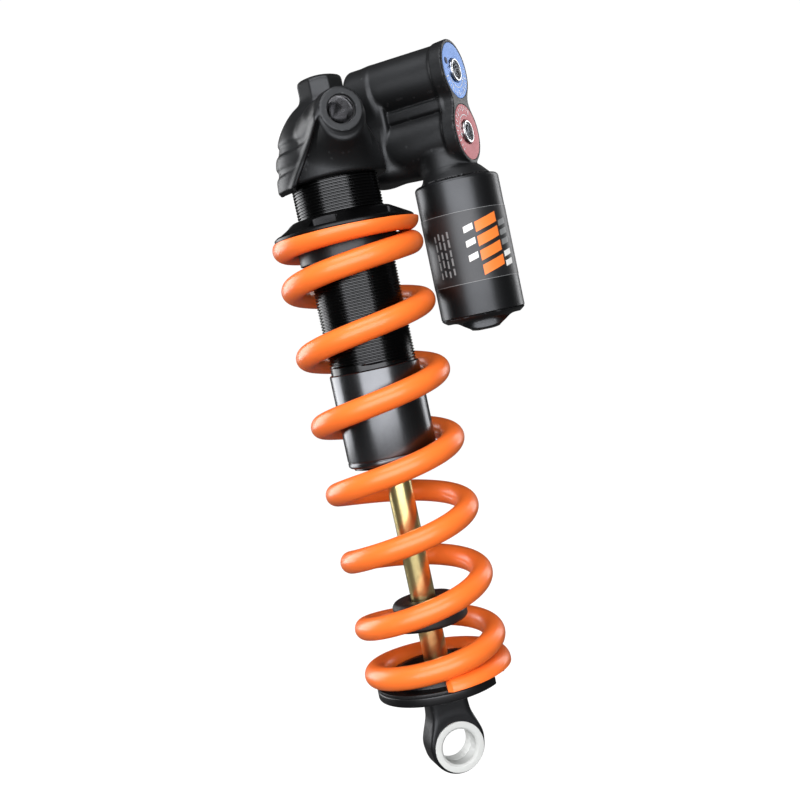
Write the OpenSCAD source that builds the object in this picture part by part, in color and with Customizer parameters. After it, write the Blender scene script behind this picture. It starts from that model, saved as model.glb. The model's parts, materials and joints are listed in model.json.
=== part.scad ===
// Rear shock: trunnion-mounted coil-over damper with a piggyback reservoir.
// Origin: centre of the lower eye. +Z runs up the damper axis to the trunnion axis,
// Y runs along both mounting bolts (front is -Y), and the reservoir stands toward +X.

/* [Overall] */
// Distance from the lower eye centre to the trunnion axis, fully extended
eye_to_trunnion = 225; // [223:0.5:228]
// Distance across the two trunnion faces
trunnion_width = 54; // [53:0.5:56]
// Travel of the damper
stroke = 70; // [60:1:70]

/* [Damper body] */
// Major diameter of the fine thread on the damper body
body_d = 30.7; // [30.4:0.1:31]
// Diameter of the plain sleeve below the thread
sleeve_d = 32.3; // [32:0.1:33]
// Height of the upper end of the sleeve
sleeve_top = 139; // [136:0.1:142]
// Diameter of the damper shaft
shaft_d = 9; // [8.5:0.1:9.5]
// Bore of the inner tube that the piston runs in
piston_bore_d = 21.8; // [21:0.1:22.2]

/* [Spring] */
// Wire diameter
wire_d = 8.2; // [7:0.1:8.4]
// Mean coil diameter
coil_d = 44.7; // [44.4:0.1:46]
// Height of the lower ground face
spring_bottom = 26.4; // [26:0.1:27]
// Height of the upper ground face
spring_top = 188; // [186:0.5:189]
// Number of wire turns, end coils included
coil_turns = 8.3; // [6:0.1:8.5]
// Pitch at the dead end coils
end_pitch = 2.4; // [2:0.1:4]

/* [Preload collar] */
// Diameter of the collar rim
collar_d = 50; // [48:0.5:52]
// Height of the collar from the spring seat to its top
collar_h = 5.6; // [5:0.1:7]
// Number of spanner slots
collar_slots = 6; // [4:1:8]

/* [Lower end] */
// Diameter of the lower spring perch
perch_d = 46.2; // [45:0.1:48]
// Width of the slot that lets the perch slip over the shaft
perch_slot = 13; // [12.8:0.1:15]
// Direction of the slot, in degrees from +X
perch_slot_angle = -35; // [-90:1:90]
// Bore of the eyelet bushings
eye_bore_d = 12.7; // [12:0.1:13]
// Width across the bushing flanges
eye_width = 12.7; // [12:0.1:14]
// Outside diameter of the eye
eye_d = 20.2; // [19.6:0.1:22]

/* [Reservoir] */
// Distance from the damper axis to the reservoir axis
reservoir_x = 44.8; // [44:0.1:47]
// Outside diameter of the reservoir can
reservoir_d = 30.8; // [30:0.1:31.2]
// Height of the lower rim of the can
reservoir_bottom = 149.5; // [148:0.5:155]
// Height of the shoulder of the can
reservoir_top = 198.5; // [198:0.1:199]

/* [Valve towers] */
// Direction that the valve towers point in, in degrees from +X
tower_angle = -44; // [-50:1:-40]
// Distance from the reservoir axis to the dial face, along the towers
tower_reach = 8.3; // [7.5:0.1:10]
// Height of the upper tower above the trunnion axis
upper_tower_rise = 11.4; // [11:0.1:12]
// Drop of the lower tower below the trunnion axis
lower_tower_drop = 10.8; // [10:0.1:11.5]
// Diameter of the coloured valve caps
valve_cap_d = 20.2; // [19:0.1:20.4]

/* [Hidden] */

$fn = 96;
gap = 0.05;
body_r = body_d / 2;
sleeve_r = sleeve_d / 2;
shaft_r = shaft_d / 2;
tube_wall_r = 13;
tube_top = 216;
tube_spigot_r = 14.6;
piston_r = piston_bore_d / 2;
inner_tube_r = piston_r + 0.7;
trunnion_z = eye_to_trunnion;
head_bottom = trunnion_z - 19.2;
arm_bottom = trunnion_z - 21.5;
// Height of the bump stop between the perch hub and the seal head at full stroke
squeezed_stop = 7.3;
hub_rise = 3.1;
sleeve_bottom = spring_bottom + hub_rise + stroke + squeezed_stop;
sleeve_skirt = 1.3;
seal_top = sleeve_bottom + 11.2;
wire_r = wire_d / 2;
coil_r = coil_d / 2;
reservoir_r = reservoir_d / 2;
can_bore_r = reservoir_r - 1.6;
perch_r = perch_d / 2;
plate_split = spring_bottom - 1.1;
perch_bottom = spring_bottom - 4.4;
cap_r = valve_cap_d / 2;
eye_r = eye_d / 2;
upper_z = trunnion_z + upper_tower_rise;
lower_z = trunnion_z - lower_tower_drop;
hub_r = coil_r - wire_r - 0.45;

// ---- shared shapes ----

// Ring with a rectangular section.
module ring(r_out, r_in, z, h) {
  translate([0, 0, z]) difference() {
    cylinder(r = r_out, h = h);
    translate([0, 0, -1]) cylinder(r = r_in, h = h + 2);
  }
}

// O-ring with its section centred at radius r and height z.
module o_ring(r, section, z) {
  translate([0, 0, z]) rotate_extrude() translate([r, 0]) circle(d = section, $fn = 32);
}

// Places children in a valve tower: local +Z runs out of the dial, with its zero at
// the dial face.
module in_tower(z) {
  translate([reservoir_x, 0, z])
    rotate([0, 0, tower_angle])
      translate([tower_reach, 0, 0])
        rotate([0, 90, 0]) children();
}

// Places children on the reservoir axis.
module at_reservoir() {
  translate([reservoir_x, 0, 0]) children();
}

// ---- head ----

neck_h = 5;
neck_top_r = 10.6;
spigot_h = 8;
boss_r = 9.4;
hole_r = 4.5;
hole_depth = 10;
tower_r = 10.2;
tower_back = -41;
dial_block_r = 11.2;
valve_bore_r = 8;
valve_bore_depth = 28;

// Threaded trunnion hole, drawn at its tapping size with a drill point.
module trunnion_hole() {
  translate([0, 0, -hole_depth]) cylinder(r = hole_r, h = hole_depth + 1);
  translate([0, 0, -hole_depth - 2.2]) cylinder(r1 = 0.4, r2 = hole_r, h = 2.21);
  translate([0, 0, -0.4]) cylinder(r1 = hole_r, r2 = hole_r + 0.5, h = 0.5);
}

// Trunnion barrel, with a flared skirt behind each face.
module trunnion_barrel() {
  translate([0, 0, trunnion_z]) rotate([90, 0, 0]) {
    translate([0, 0, -trunnion_width / 2]) cylinder(r = boss_r, h = trunnion_width);
    for (side = [0, 1]) mirror([0, 0, side])
      translate([0, 0, 10]) cylinder(r1 = 15, r2 = boss_r + 0.4, h = 14);
  }
}

// One valve tower with its larger dial end.
module tower(z) {
  in_tower(z) {
    translate([0, 0, tower_back]) cylinder(r = tower_r, h = -tower_back);
    translate([0, 0, -8.3]) cylinder(r = dial_block_r, h = 8.3);
  }
}

// Bore of one valve tower, with the recess for its cap.
module tower_bore(z) {
  in_tower(z) {
    translate([0, 0, -valve_bore_depth]) cylinder(r = valve_bore_r, h = valve_bore_depth + 1);
    translate([0, 0, -1.6]) cylinder(r = cap_r + gap, h = 3);
    translate([0, 0, -valve_bore_depth - 6]) cylinder(r = 2.5, h = 8);
  }
}

// Web from the damper head to the reservoir neck and the towers.
module head_arm() {
  translate([0, 0, arm_bottom]) linear_extrude(20)
    polygon([[4, -11], [24, -11], [reservoir_x, -11], [reservoir_x, 10], [30, 24], [12, 28], [0, 14]]);
  translate([0, 0, trunnion_z - 6]) linear_extrude(16)
    polygon([[6, 4], [24, -2], [38, 10], [18, 30], [8, 22]]);
}

module head_casting() {
  color("#202123") difference() {
    union() {
      translate([0, 0, head_bottom]) cylinder(r = 19.2, h = 13.5);
      translate([0, 0, head_bottom + 13.5]) cylinder(r1 = 19.2, r2 = 9, h = 14);
      translate([2.5, 0, trunnion_z + 2]) cylinder(r = 8.4, h = 15);
      trunnion_barrel();
      head_arm();
      tower(upper_z);
      tower(lower_z);
      in_tower(lower_z) translate([-(upper_z - lower_z), -6, -22])
        cube([upper_z - lower_z, 12, 22]);
      at_reservoir() translate([0, 0, reservoir_top])
        cylinder(r1 = can_bore_r - gap, r2 = neck_top_r, h = neck_h);
      at_reservoir() rotate([0, 0, tower_angle]) translate([-3, 0, reservoir_top + 2])
        cylinder(r = tower_r, h = lower_z - reservoir_top - 2);
      at_reservoir() translate([0, 0, reservoir_top - spigot_h])
        cylinder(r = can_bore_r - gap, h = spigot_h + 0.01);
    }
    translate([0, 0, arm_bottom - 1])
      cylinder(r = body_r + gap, h = tube_top - arm_bottom + 1.3);
    translate([0, 0, tube_top]) cylinder(r = 8, h = 3);
    for (side = [0, 1]) mirror([0, side, 0])
      translate([0, -trunnion_width / 2, trunnion_z]) rotate([90, 0, 0]) trunnion_hole();
    tower_bore(upper_z);
    tower_bore(lower_z);
    at_reservoir() translate([0, 0, reservoir_top - 9]) cylinder(r = 3, h = 14);
    at_reservoir() translate([0, 0, reservoir_top - 4.6])
      ring_groove(can_bore_r + 1, can_bore_r - 1.55, 1.9);
  }
}

// Groove for an O-ring, cut into an outside wall.
module ring_groove(r_out, r_in, h) {
  difference() {
    cylinder(r = r_out, h = h);
    translate([0, 0, -1]) cylinder(r = r_in, h = h + 2);
  }
}

// ---- damper body ----

module damper_body() {
  color("#1b1c1e") difference() {
    union() {
      translate([0, 0, sleeve_top]) cylinder(r = body_r, h = tube_top - sleeve_top);
      translate([0, 0, sleeve_bottom + 1.2])
        cylinder(r = tube_spigot_r, h = sleeve_top - sleeve_bottom);
    }
    translate([0, 0, sleeve_bottom]) cylinder(r = tube_wall_r, h = 150);
  }
}

module body_sleeve() {
  color("#26272a") ring(sleeve_r, tube_spigot_r + gap, sleeve_bottom - sleeve_skirt,
    sleeve_top - sleeve_bottom + sleeve_skirt - gap);
}

module inner_tube() {
  color("#8f9296") ring(inner_tube_r, piston_r, seal_top + gap, tube_top - seal_top - 2 * gap);
}

module body_o_ring() {
  color("#101010") o_ring(12.4, 1, tube_top - 0.6);
}

// ---- seal head ----

module seal_head() {
  color("#17181a") difference() {
    union() {
      translate([0, 0, sleeve_bottom - 2.2]) cylinder(r = 14.4, h = 2.5);
      translate([0, 0, sleeve_bottom]) cylinder(r = tube_spigot_r, h = 1.15);
      translate([0, 0, sleeve_bottom + 1]) cylinder(r = tube_wall_r - gap, h = 10.2);
    }
    translate([0, 0, sleeve_bottom - 3]) cylinder(r = shaft_r + 0.15, h = 20);
    translate([0, 0, sleeve_bottom - 3]) cylinder(r = 12, h = 3.4);
    translate([0, 0, sleeve_bottom]) cylinder(r = 6.7, h = 2.9);
    translate([0, 0, sleeve_bottom]) cylinder(r = 5.7, h = 9);
    translate([0, 0, sleeve_bottom + 8.5]) cylinder(r = 6.7, h = 4);
    translate([0, 0, sleeve_bottom + 5]) ring_groove(tube_wall_r + 1, tube_wall_r - 1.55, 1.9);
  }
}

module seal_head_o_ring() {
  color("#101010") o_ring(tube_wall_r - 0.78, 1.5, sleeve_bottom + 5.95);
}

module shaft_bushing() {
  color("#6b7a5c") ring(5.65, shaft_r + 0.03, sleeve_bottom + 3.0, 5.4);
}

module shaft_wiper() {
  color("#141414") ring(6.65, shaft_r + 0.03, sleeve_bottom + 0.6, 2.2);
}

module shaft_oil_seal() {
  color("#141414") ring(6.65, shaft_r + 0.03, sleeve_bottom + 8.6, 2.2);
}

// ---- reservoir ----

module reservoir_can() {
  color("#1d1e20") at_reservoir() difference() {
    union() {
      translate([0, 0, reservoir_bottom]) cylinder(r = reservoir_r, h = reservoir_top - reservoir_bottom - 1.5);
      translate([0, 0, reservoir_top - 1.5]) cylinder(r1 = reservoir_r, r2 = reservoir_r - 1, h = 1.45);
    }
    translate([0, 0, reservoir_bottom - 1]) cylinder(r = can_bore_r, h = 60);
  }
}

module reservoir_o_ring() {
  color("#101010") at_reservoir() o_ring(can_bore_r - 0.78, 1.5, reservoir_top - 3.65);
}

// Domed cap with four pockets that leave a cross of ribs to grip.
pocket_spread = 24;
module reservoir_end_cap() {
  color("#1d1e20") at_reservoir() difference() {
    union() {
      translate([0, 0, reservoir_bottom - 1.2]) cylinder(r = reservoir_r, h = 1.15);
      translate([0, 0, reservoir_bottom - 2.9])
        cylinder(r1 = reservoir_r - 4.4, r2 = reservoir_r, h = 1.71);
      translate([0, 0, reservoir_bottom - 6])
        cylinder(r1 = 5, r2 = reservoir_r - 4.4, h = 3.11);
      translate([0, 0, reservoir_bottom - 1]) cylinder(r = can_bore_r - gap, h = 8);
    }
    for (side = [0, 90, 180, 270]) rotate([0, 0, side - 21]) hull()
      for (turn = [-pocket_spread, pocket_spread]) rotate([0, 0, turn])
        translate([9.2, 0, reservoir_bottom - 7]) cylinder(r = 3.3, h = 6);
    translate([0, 0, reservoir_bottom - 7]) cylinder(r = 3.05, h = 5.5);
    translate([0, 0, reservoir_bottom - 7]) cylinder(r = 1.4, h = 20);
    translate([0, 0, reservoir_bottom + 3])
      ring_groove(can_bore_r + 1, can_bore_r - 1.55, 1.9);
  }
}

module end_cap_o_ring() {
  color("#101010") at_reservoir() o_ring(can_bore_r - 0.78, 1.5, reservoir_bottom + 3.95);
}

module gas_fill_screw() {
  color("#b9bcc0") at_reservoir() difference() {
    union() {
      translate([0, 0, reservoir_bottom - 4.6]) cylinder(r = 3, h = 3.05);
      translate([0, 0, reservoir_bottom - 2]) cylinder(r = 1.37, h = 6);
    }
    translate([0, 0, reservoir_bottom - 5]) cylinder(r = 1.45, h = 2, $fn = 6);
  }
}

module reservoir_decal() {
  color("#2a2b2e") at_reservoir() ring(reservoir_r + 0.09, reservoir_r + 0.01, 161, 25.2);
}

module floating_piston() {
  color("#9da0a4") at_reservoir() translate([0, 0, 178]) difference() {
    cylinder(r = can_bore_r - gap, h = 9);
    translate([0, 0, -1]) cylinder(r = 9.5, h = 6);
    translate([0, 0, 3.6]) ring_groove(can_bore_r + 1, can_bore_r - 1.6, 2.1);
  }
}

module floating_piston_seal() {
  color("#101010") at_reservoir() o_ring(can_bore_r - 0.82, 1.5, 182.65);
}

// ---- valves ----

// Coloured cap that closes a tower, with an opening for the two adjusters.
module valve_cap() {
  difference() {
    translate([0, 0, -1.5]) cylinder(r = cap_r, h = 1.5);
    translate([0, 0, -2]) cylinder(r = 4.25, h = 4);
  }
}

module compression_valve_cap() {
  color("#3f7fd0") in_tower(upper_z) valve_cap();
}

module rebound_valve_cap() {
  color("#c43a44") in_tower(lower_z) valve_cap();
}

// O-rings behind the two caps.
module valve_cap_o_rings() {
  color("#101010") for (z = [upper_z, lower_z]) in_tower(z) o_ring(7.1, 1.4, -2.4);
}

// Sleeve that holds a poppet, its spring and its adjusters.
module valve_seat() {
  difference() {
    translate([0, 0, -27.5]) cylinder(r = valve_bore_r - gap, h = 23.5);
    translate([0, 0, -25]) cylinder(r = 6, h = 30);
    translate([0, 0, -28]) cylinder(r = 2.4, h = 10);
    for (side = [0, 90, 180, 270]) rotate([0, 0, side])
      translate([0, 0, -21]) rotate([0, 90, 0]) cylinder(r = 1.4, h = 12);
  }
}

module compression_valve_seat() {
  color("#a58a4a") in_tower(upper_z) valve_seat();
}

module rebound_valve_seat() {
  color("#a58a4a") in_tower(lower_z) valve_seat();
}

// Poppet that lifts off the seat under high-speed flow.
module poppet() {
  difference() {
    union() {
      translate([0, 0, -24.6]) cylinder(r = 5.6, h = 2);
      translate([0, 0, -23]) cylinder(r = 2.6, h = 4.5);
    }
    translate([0, 0, -25]) cylinder(r = 1.2, h = 8);
  }
}

module compression_poppet() {
  color("#c2c5c9") in_tower(upper_z) poppet();
}

module rebound_poppet() {
  color("#c2c5c9") in_tower(lower_z) poppet();
}

// Point on a helix of radius r that climbs by pitch a turn.
function helix_point(r, pitch, turn) =
  [r * cos(360 * turn), r * sin(360 * turn), pitch * turn];

// Joins rings of points into a closed tube.
module tube_mesh(rings) {
  n = len(rings[0]);
  last = len(rings) - 1;
  polyhedron(
    points = [for (section = rings) each section],
    faces = concat(
      [[for (k = [0:n - 1]) k]],
      [for (i = [0:last - 1], k = [0:n - 1], half = [0, 1])
        half == 0
          ? [i * n + k, (i + 1) * n + k, i * n + (k + 1) % n]
          : [i * n + (k + 1) % n, (i + 1) * n + k, (i + 1) * n + (k + 1) % n]],
      [[for (k = [n - 1:-1:0]) last * n + k]]));
}

// Light spring behind a poppet.
module poppet_spring() {
  sides = 6;
  per_turn = 14;
  turns = 3.5;
  translate([0, 0, -22.1]) tube_mesh([for (i = [0:turns * per_turn])
    let (c = helix_point(4.2, 2, i / per_turn), a = 360 * i / per_turn)
      [for (k = [0:sides - 1])
        let (b = 360 * k / sides)
          [c[0] + 0.45 * cos(b) * cos(a), c[1] + 0.45 * cos(b) * sin(a), c[2] + 0.45 * sin(b)]]]);
}

module compression_poppet_spring() {
  color("#8d9094") in_tower(upper_z) poppet_spring();
}

module rebound_poppet_spring() {
  color("#8d9094") in_tower(lower_z) poppet_spring();
}

// High-speed adjuster: a tube with a hexagonal socket that stands proud of the cap.
adjuster_proud = 0.8;
module high_speed_adjuster() {
  difference() {
    union() {
      translate([0, 0, -6]) cylinder(r = 4.15, h = 6 + adjuster_proud);
      translate([0, 0, -13]) cylinder(r = 5.6, h = 7.1);
    }
    translate([0, 0, -3.2]) cylinder(r = 3.46, h = 6, $fn = 6);
    translate([0, 0, -20]) cylinder(r = 2.1, h = 30);
  }
}

module hsc_adjuster() {
  color("#c9ccd0") in_tower(upper_z) high_speed_adjuster();
}

module hsr_adjuster() {
  color("#c9ccd0") in_tower(lower_z) high_speed_adjuster();
}

// Low-speed adjuster: a screw inside the high-speed adjuster that drives a needle.
module low_speed_adjuster() {
  difference() {
    translate([0, 0, -14.8]) cylinder(r = 2.05, h = 11.2);
    translate([0, 0, -15]) cylinder(r = 1, h = 7);
    translate([0, 0, -5.6]) cylinder(r = 1.7, h = 4, $fn = 6);
  }
}

// Needle that throttles the low-speed port through the poppet.
module needle() {
  translate([0, 0, -22.4]) cylinder(r = 0.9, h = 13);
  translate([0, 0, -24.4]) cylinder(r1 = 0.2, r2 = 0.9, h = 2.01);
}

module lsc_needle() {
  color("#c2c5c9") in_tower(upper_z) needle();
}

module lsr_needle() {
  color("#c2c5c9") in_tower(lower_z) needle();
}

module lsc_adjuster() {
  color("#3a3c40") in_tower(upper_z) low_speed_adjuster();
}

module lsr_adjuster() {
  color("#3a3c40") in_tower(lower_z) low_speed_adjuster();
}

// ---- spring, collar and perch ----

// Height gained v turns in from an end of the spring. The pitch grows smoothly from
// end_pitch to pitch over blend_turns, and lead_turns sets how early it starts.
lead_turns = 0.18;
blend_turns = 2.31;
function blend_area(t) = t <= 0 ? 0 : t >= 1 ? t - 0.5 : t * t * t - t * t * t * t / 2;
function rise(v, pitch) = end_pitch * v
  + (pitch - end_pitch) * blend_turns * (blend_area((v + lead_turns) / blend_turns)
  - blend_area(lead_turns / blend_turns));
half_turns = coil_turns / 2;
half_height = (spring_top - spring_bottom) / 2;
active_pitch = end_pitch + (half_height - end_pitch * half_turns)
  / (blend_turns * (blend_area((half_turns + lead_turns) / blend_turns)
  - blend_area(lead_turns / blend_turns)));
function wire_z(turn) = turn <= half_turns
  ? spring_bottom + rise(turn, active_pitch)
  : spring_top - rise(coil_turns - turn, active_pitch);

// Front end of the wire, in degrees from +X.
wire_start = -102;
wire_sides = 12;
wire_steps = 24;

module coil_spring() {
  steps = ceil(coil_turns * wire_steps);
  color("#f07a1e") tube_mesh([for (i = [0:steps])
    let (turn = coil_turns * i / steps, a = wire_start + 360 * turn, z = wire_z(turn))
      [for (k = [0:wire_sides - 1])
        let (b = 360 * k / wire_sides, r = coil_r + wire_r * cos(b))
          [r * cos(a), r * sin(a), min(spring_top - gap,
            max(spring_bottom + gap, z + wire_r * sin(b)))]]]);
}

module spring_pilot_ring() {
  color("#3a3b3e") ring(hub_r, body_r + 0.1, spring_top - 9.5, 9.45);
}

// Conical collar that screws down on the body thread. Its spanner slots are as wide as
// the ribs between them.
collar_slot_r = 18.9;
module preload_collar() {
  slot_w = collar_slot_r * PI / collar_slots;
  color("#18191b") translate([0, 0, spring_top]) difference() {
    union() {
      cylinder(r = collar_d / 2, h = 1.1);
      translate([0, 0, 1.09]) cylinder(r1 = collar_d / 2, r2 = 17.2, h = collar_h - 1.09);
    }
    translate([0, 0, -1]) cylinder(r = body_r + 0.06, h = 20);
    for (i = [0:collar_slots - 1]) rotate([0, 0, 360 * i / collar_slots - 3])
      translate([collar_slot_r, -slot_w / 2, 2]) cube([10, slot_w, 10]);
  }
}

// Slot that runs from the shaft to the rim of the perch.
module perch_opening() {
  translate([0, 0, -1]) cylinder(d = perch_slot, h = 40);
  rotate([0, 0, perch_slot_angle]) translate([0, -perch_slot / 2, -1])
    cube([40, perch_slot, 40]);
}

module spring_retainer() {
  color("#222326") difference() {
    union() {
      translate([0, 0, plate_split]) cylinder(r = perch_r, h = spring_bottom - plate_split);
      translate([0, 0, plate_split]) cylinder(r = hub_r, h = spring_bottom - plate_split + hub_rise);
    }
    translate([0, 0, spring_bottom]) cylinder(r = hub_r - 2.8, h = 10);
    perch_opening();
  }
}

module retainer_base() {
  color("#1b1c1e") difference() {
    translate([0, 0, perch_bottom]) cylinder(r = perch_r, h = plate_split - perch_bottom - 0.01);
    perch_opening();
  }
}

// ---- bump stop ----

bumper_cup_z = 45.3;

module bumper_cup() {
  color("#2c2d30") translate([0, 0, bumper_cup_z]) difference() {
    union() {
      cylinder(r1 = 14, r2 = 14.6, h = 1);
      translate([0, 0, 0.99]) cylinder(r = 14.6, h = 2.71);
    }
    translate([0, 0, -1]) cylinder(r = shaft_r + 0.4, h = 10);
    translate([0, 0, 1.2]) cylinder(r = 11.75, h = 10);
  }
}

module bumper() {
  color("#1a1a1b") translate([0, 0, bumper_cup_z + 1.25]) difference() {
    union() {
      cylinder(r = 11.7, h = 7);
      translate([0, 0, 6.99]) cylinder(r1 = 11.7, r2 = 10.9, h = 1);
    }
    translate([0, 0, -1]) cylinder(r = shaft_r + 0.2, h = 10);
  }
}

// ---- shaft and piston ----

stack_z = seal_top + 2;
shim_h = 1.2;
piston_h = 8;
spigot_r = 2.9;

module damper_shaft() {
  color("#c79a45") difference() {
    union() {
      translate([0, 0, 9.4]) cylinder(r = shaft_r, h = stack_z - 9.4);
      translate([0, 0, stack_z - 1]) cylinder(r = spigot_r, h = piston_h + 2 * shim_h + 5);
    }
    translate([0, 0, 9]) cylinder(r = 1.5, h = 140);
  }
}

module top_out_bumper() {
  color("#1a1a1b") ring(7.6, shaft_r + 0.02, seal_top + 0.2, 1.7);
}

// Stack of three flat discs that covers the piston ports.
module shim_stack(z, widest_first) {
  for (i = [0:2]) translate([0, 0, z + i * shim_h / 3])
    difference() {
      cylinder(r = widest_first ? 8.8 - i : 6.8 + i, h = shim_h / 3 - 0.02);
      translate([0, 0, -1]) cylinder(r = spigot_r + 0.05, h = 3);
    }
}

module rebound_shims() {
  color("#b4b7bb") shim_stack(stack_z + 0.02, false);
}

module piston() {
  color("#9a9da1") translate([0, 0, stack_z + shim_h + 0.02]) difference() {
    cylinder(r = piston_r - 0.1, h = piston_h - 0.04);
    translate([0, 0, -1]) cylinder(r = spigot_r + 0.02, h = 20);
    translate([0, 0, 2]) ring_groove(piston_r + 1, piston_r - 0.9, 4);
    for (i = [0:5]) rotate([0, 0, 60 * i]) translate([6.6, 0, -1]) cylinder(r = 1.3, h = 20);
  }
}

module piston_band() {
  color("#2f5d50") ring(piston_r - 0.03, piston_r - 0.85, stack_z + shim_h + 2.1, 3.8);
}

module compression_shims() {
  color("#b4b7bb") shim_stack(stack_z + shim_h + piston_h + 0.02, true);
}

module piston_nut() {
  color("#85888c") translate([0, 0, stack_z + 2 * shim_h + piston_h + 0.04]) difference() {
    cylinder(r = 5.2, h = 3.6, $fn = 6);
    translate([0, 0, -1]) cylinder(r = spigot_r + 0.02, h = 10);
  }
}

// ---- eyelet ----

neck_w = 15.6;
bushing_seat_r = 7.5;
flange_r = 9.15;
flange_t = 0.8;

module lower_eyelet() {
  eye_half = eye_width / 2 - flange_t - 0.02;
  neck_d = 2 * eye_half;
  color("#1c1d1f") difference() {
    union() {
      rotate([90, 0, 0]) translate([0, 0, -eye_half]) cylinder(r = eye_r, h = 2 * eye_half);
      intersection() {
        translate([-neck_w / 2, -neck_d / 2, 0]) cube([neck_w, neck_d, perch_bottom - gap]);
        cylinder(r = 9.2, h = 40);
      }
      translate([0, 0, perch_bottom - 1]) cylinder(r = 6.2, h = 4.2);
    }
    rotate([90, 0, 0]) translate([0, 0, -20]) cylinder(r = bushing_seat_r, h = 40);
    translate([0, 0, 9]) cylinder(r = shaft_r + 0.01, h = 40);
  }
}

// Flanged half bushing, on the side that the mirror puts it.
module bushing() {
  rotate([90, 0, 0]) difference() {
    union() {
      translate([0, 0, 0.03]) cylinder(r = bushing_seat_r - 0.01, h = eye_width / 2 - 0.03);
      translate([0, 0, eye_width / 2 - flange_t]) cylinder(r = flange_r, h = flange_t);
    }
    translate([0, 0, -1]) cylinder(r = eye_bore_d / 2, h = 20);
    translate([0, 0, eye_width / 2 - 0.5])
      cylinder(r1 = eye_bore_d / 2, r2 = eye_bore_d / 2 + 0.6, h = 0.6);
  }
}

module bushing_front() {
  color("#eeeeea") bushing();
}

module bushing_rear() {
  color("#eeeeea") mirror([0, 1, 0]) bushing();
}

head_casting();
damper_body();
body_sleeve();
inner_tube();
body_o_ring();
seal_head();
seal_head_o_ring();
shaft_bushing();
shaft_oil_seal();
shaft_wiper();
reservoir_can();
reservoir_o_ring();
reservoir_end_cap();
end_cap_o_ring();
gas_fill_screw();
reservoir_decal();
compression_valve_cap();
rebound_valve_cap();
compression_valve_seat();
rebound_valve_seat();
valve_cap_o_rings();
compression_poppet_spring();
rebound_poppet_spring();
compression_poppet();
rebound_poppet();
hsc_adjuster();
hsr_adjuster();
lsc_adjuster();
lsr_adjuster();
lsc_needle();
lsr_needle();
spring_pilot_ring();
preload_collar();
coil_spring();
spring_retainer();
retainer_base();
bumper();
bumper_cup();
damper_shaft();
top_out_bumper();
rebound_shims();
piston();
piston_band();
compression_shims();
piston_nut();
lower_eyelet();
bushing_front();
bushing_rear();
floating_piston();
floating_piston_seal();
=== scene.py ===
"""Looks for the rear shock: castings, threads, spring, dials, camera and light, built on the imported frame."""

import json
import math

import bmesh
import bpy
import numpy as np
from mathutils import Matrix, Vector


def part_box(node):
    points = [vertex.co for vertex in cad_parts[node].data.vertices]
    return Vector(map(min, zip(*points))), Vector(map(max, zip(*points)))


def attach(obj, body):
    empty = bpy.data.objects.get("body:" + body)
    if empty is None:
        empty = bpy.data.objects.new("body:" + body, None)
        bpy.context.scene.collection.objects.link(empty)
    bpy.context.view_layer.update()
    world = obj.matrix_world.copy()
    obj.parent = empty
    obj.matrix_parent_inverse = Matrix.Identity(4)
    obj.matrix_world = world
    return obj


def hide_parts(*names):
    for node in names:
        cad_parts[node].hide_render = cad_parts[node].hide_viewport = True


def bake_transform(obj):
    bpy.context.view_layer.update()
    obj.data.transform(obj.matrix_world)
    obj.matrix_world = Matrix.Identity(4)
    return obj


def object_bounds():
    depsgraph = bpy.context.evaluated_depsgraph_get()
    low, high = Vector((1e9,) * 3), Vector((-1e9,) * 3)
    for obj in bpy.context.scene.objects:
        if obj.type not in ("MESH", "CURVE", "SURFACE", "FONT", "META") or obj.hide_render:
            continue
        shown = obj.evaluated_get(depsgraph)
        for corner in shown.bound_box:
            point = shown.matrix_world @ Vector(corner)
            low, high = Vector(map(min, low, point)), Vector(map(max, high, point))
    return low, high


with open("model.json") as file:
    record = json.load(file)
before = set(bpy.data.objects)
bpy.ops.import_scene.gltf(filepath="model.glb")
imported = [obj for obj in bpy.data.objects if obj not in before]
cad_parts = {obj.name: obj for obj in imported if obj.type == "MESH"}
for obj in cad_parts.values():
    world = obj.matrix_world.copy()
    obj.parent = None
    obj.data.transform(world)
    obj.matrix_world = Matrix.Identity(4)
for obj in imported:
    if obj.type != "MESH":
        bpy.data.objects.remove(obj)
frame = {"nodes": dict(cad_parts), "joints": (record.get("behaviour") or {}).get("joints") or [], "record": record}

import openvdb
from mathutils import Matrix, Vector

MM = 0.001
TAU = 2 * math.pi
CAD_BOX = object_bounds()
RECORD = frame["record"]


# ---------------------------------------------------------------- sizes, in millimetres


def node_box(node):
    """Lowest and highest corner of a CAD node."""
    low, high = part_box(node)
    return np.array(low) / MM, np.array(high) / MM


def node_radius(node):
    """Radius of a round CAD node that stands upright."""
    low, high = node_box(node)
    return (high[1] - low[1]) / 2


def mount(name):
    """Place of a mount."""
    found = next(m for m in RECORD["mounts"] if m["name"] == name)
    return np.array(found["pos_m"]) / MM


def joint(name):
    """A joint of the record."""
    return next(j for j in frame["joints"] if j["name"] == name)


TRUNNION_Z = mount("trunnion_hole_front")[2]
FACE_Y = -mount("trunnion_face_front")[1]
FACE_RELIEF = 0.9
EYE_BORE_R = 6.35
BODY_R = node_radius("damper_body")
BODY_TOP = node_box("damper_body")[1][2]
SLEEVE_R = node_radius("body_sleeve")
SLEEVE_LOW = node_box("body_sleeve")[0][2]
SLEEVE_TOP = node_box("body_sleeve")[1][2]
SHAFT_R = node_radius("damper_shaft")
HEAD_BOTTOM = TRUNNION_Z - 19.2
SPRING_LOW = node_box("coil_spring")[0][2]
SPRING_TOP = node_box("coil_spring")[1][2]
PERCH_R = node_radius("retainer_base")
PERCH_LOW = node_box("retainer_base")[0][2]
PERCH_SPLIT = node_box("retainer_base")[1][2]
COLLAR_R = node_radius("preload_collar")
COLLAR_TOP = node_box("preload_collar")[1][2]
CAN_LOW, CAN_HIGH = node_box("reservoir_can")
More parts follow.
